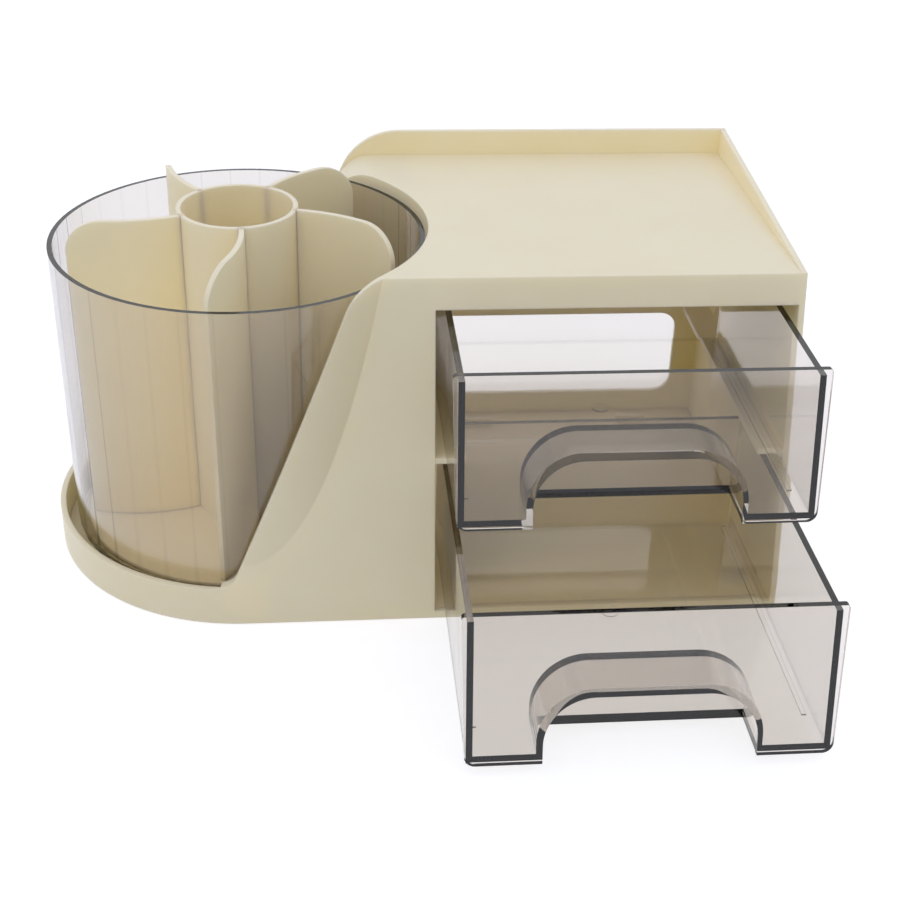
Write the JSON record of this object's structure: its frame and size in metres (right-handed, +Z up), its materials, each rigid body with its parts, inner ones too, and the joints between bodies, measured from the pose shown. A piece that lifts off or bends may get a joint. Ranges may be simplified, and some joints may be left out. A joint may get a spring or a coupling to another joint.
{
  "type": "rotating make-up organizer",
  "caption": "Desk-top make-up organizer: a ribbed clear brush cup with curved dividers turns beside a leaning cabinet with clear drawers and a rimmed deck.",
  "frame": {"origin": "on the table under the middle of the housing's footprint, at the underside of the middle foot", "axes": "+X from the turning cup to the drawer cabinet, +Y to the back, drawers open towards -Y, +Z up"},
  "size_m": [0.2992, 0.2556, 0.149],
  "materials": {
    "ivory_abs": "fine satin moulded ABS, ivory",
    "smoke_clear": "polished clear styrene with a light grey smoke tint",
    "bearing_plastic": "natural acetal",
    "bearing_steel": "bright steel",
    "foot_rubber": "matt rubber"
  },
  "bodies": {
    "cabinet": {"housing": "ivory_abs", "base_plate": "ivory_abs", "base_screws": "bearing_steel", "rubber_feet": "foot_rubber", "pivot_screw": "bearing_steel", "pivot_washer": "bearing_steel"},
    "carousel": {"cup": "smoke_clear", "divider_insert": "ivory_abs", "turntable": "bearing_plastic"},
    "ball_ring": {"ball_cage": "bearing_plastic", "bearing_balls": "bearing_steel"},
    "drawer_upper": {"upper_drawer": "smoke_clear"},
    "drawer_lower": {"lower_drawer": "smoke_clear"}
  },
  "joints": [
    {"name": "carousel_turn", "type": "hinge", "parent": "cabinet", "child": "carousel", "pos_m": [-0.0676, 0, 0.01], "axis": [0, 0, 1], "continuous": true},
    {"name": "ball_ring_turn", "type": "hinge", "parent": "cabinet", "child": "ball_ring", "pos_m": [-0.0676, 0, 0.005], "axis": [0, 0, 1], "continuous": true},
    {"name": "upper_drawer_slide", "type": "slide", "parent": "cabinet", "child": "drawer_upper", "axis": [0, -1, 0], "range_m": [-0.052, 0.058]},
    {"name": "lower_drawer_slide", "type": "slide", "parent": "cabinet", "child": "drawer_lower", "axis": [0, -1, 0], "range_m": [-0.0917, 0.0183]}
  ],
  "couplings": [
    {"joint": "ball_ring_turn", "follows": "carousel_turn", "ratio": 0.5}
  ]
}
